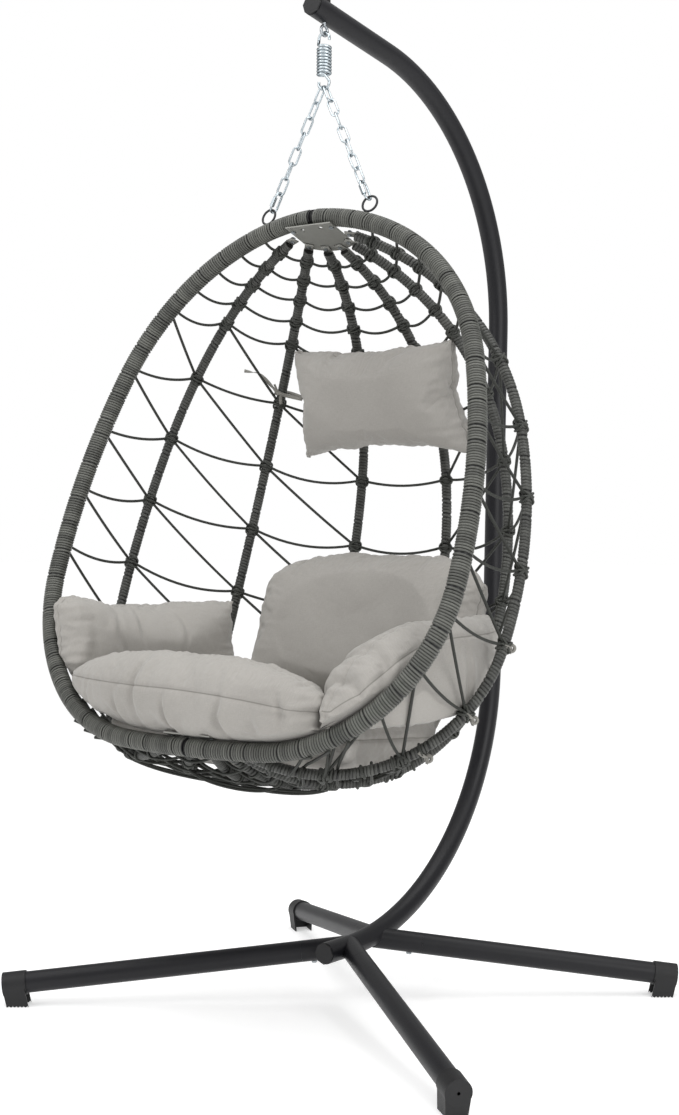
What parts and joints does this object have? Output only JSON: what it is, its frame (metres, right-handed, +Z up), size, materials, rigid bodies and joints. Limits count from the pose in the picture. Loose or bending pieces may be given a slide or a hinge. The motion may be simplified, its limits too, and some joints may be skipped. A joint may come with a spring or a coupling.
{
  "type": "hanging egg chair",
  "caption": "Hanging egg chair: a curved steel pole on splayed legs carries a spring, chains and a netted, cord-wound egg basket with loose cushions.",
  "frame": {"origin": "middle of the footprint, on the floor", "axes": "+Z up, -Y to the front where the sitter looks out, +Y to the upright of the pole, +X to the right of the picture"},
  "size_m": [1.0982, 1.0669, 1.9702],
  "materials": {
    "stand_paint": "satin charcoal powder coat",
    "black_plastic": "moulded black plastic",
    "zinc_fixings": "zinc-plated steel",
    "bright_steel": "bright zinc-plated wire",
    "plate_steel": "grey painted plate",
    "ring_paint": "black painted wire",
    "wound_cord": "dark grey resin cord wound on tube",
    "net_rope": "dark braided rope",
    "cushion_fabric": "plain woven outdoor fabric, light warm grey"
  },
  "bodies": {
    "stand": {"foot_front_left": "black_plastic", "foot_front_right": "black_plastic", "foot_rear_left": "black_plastic", "foot_rear_right": "black_plastic", "leg_front_left": "stand_paint", "leg_front_right": "stand_paint", "leg_rear_left": "stand_paint", "leg_rear_right": "stand_paint", "plug_arm": "black_plastic", "plug_hub": "black_plastic", "pole_lower": "stand_paint", "pole_upper": "stand_paint", "pole_bolt": "zinc_fixings", "leg_bolts": "zinc_fixings", "arm_saddle": "zinc_fixings"},
    "eye_bolt": {"eye_bolt": "zinc_fixings", "eye_nut": "zinc_fixings"},
    "spring_upper": {"spring_hook_top": "bright_steel", "spring_coil": "bright_steel"},
    "spring_lower": {"spring_hook_bottom": "bright_steel"},
    "chains": {"chain_left": "bright_steel", "chain_right": "bright_steel", "quick_links": "bright_steel", "quick_link_sleeves": "bright_steel"},
    "basket": {"cushion_arm_left": "cushion_fabric", "cushion_arm_right": "cushion_fabric", "cushion_back": "cushion_fabric", "cushion_roll": "cushion_fabric", "cushion_seat": "cushion_fabric", "hoop_bolts": "zinc_fixings", "hoop_left": "wound_cord", "hoop_plugs": "black_plastic", "hoop_right": "wound_cord", "net_bay_1": "net_rope", "net_bay_2": "net_rope", "net_bay_3": "net_rope", "net_bay_4": "net_rope", "net_bay_5": "net_rope", "net_bay_6": "net_rope", "net_bay_7": "net_rope", "pillow_head": "cushion_fabric", "plate_bottom": "plate_steel", "plate_top": "plate_steel", "rib_1": "wound_cord", "rib_2": "wound_cord", "rib_3": "wound_cord", "rib_4": "wound_cord", "rib_5": "wound_cord", "rib_6": "wound_cord", "rib_bolts": "zinc_fixings", "rim_rings": "ring_paint"}
  },
  "joints": [
    {"name": "eye_swivel", "type": "hinge", "parent": "stand", "child": "eye_bolt", "pos_m": [0, -0.1319, 1.9387], "axis": [0, 0, 1], "range_deg": [-45, 45]},
    {"name": "swing_fore_aft", "type": "hinge", "parent": "eye_bolt", "child": "spring_upper", "pos_m": [0, -0.1319, 1.8961], "axis": [1, 0, 0], "range_deg": [-8, 8]},
    {"name": "spring_stretch", "type": "slide", "parent": "spring_upper", "child": "spring_lower", "axis": [0, 0, -1], "range_m": [0, 0.03], "stiffness_N_per_m": 30000, "springref_m": -0.01, "deforming": ["spring_coil"]},
    {"name": "swing_side", "type": "hinge", "parent": "spring_lower", "child": "chains", "pos_m": [0, -0.1319, 1.8025], "axis": [0, 1, 0], "range_deg": [-8, 8]},
    {"name": "basket_pitch", "type": "hinge", "parent": "chains", "child": "basket", "pos_m": [0, -0.1438, 1.5682], "axis": [1, 0, 0], "range_deg": [-5, 5]}
  ]
}
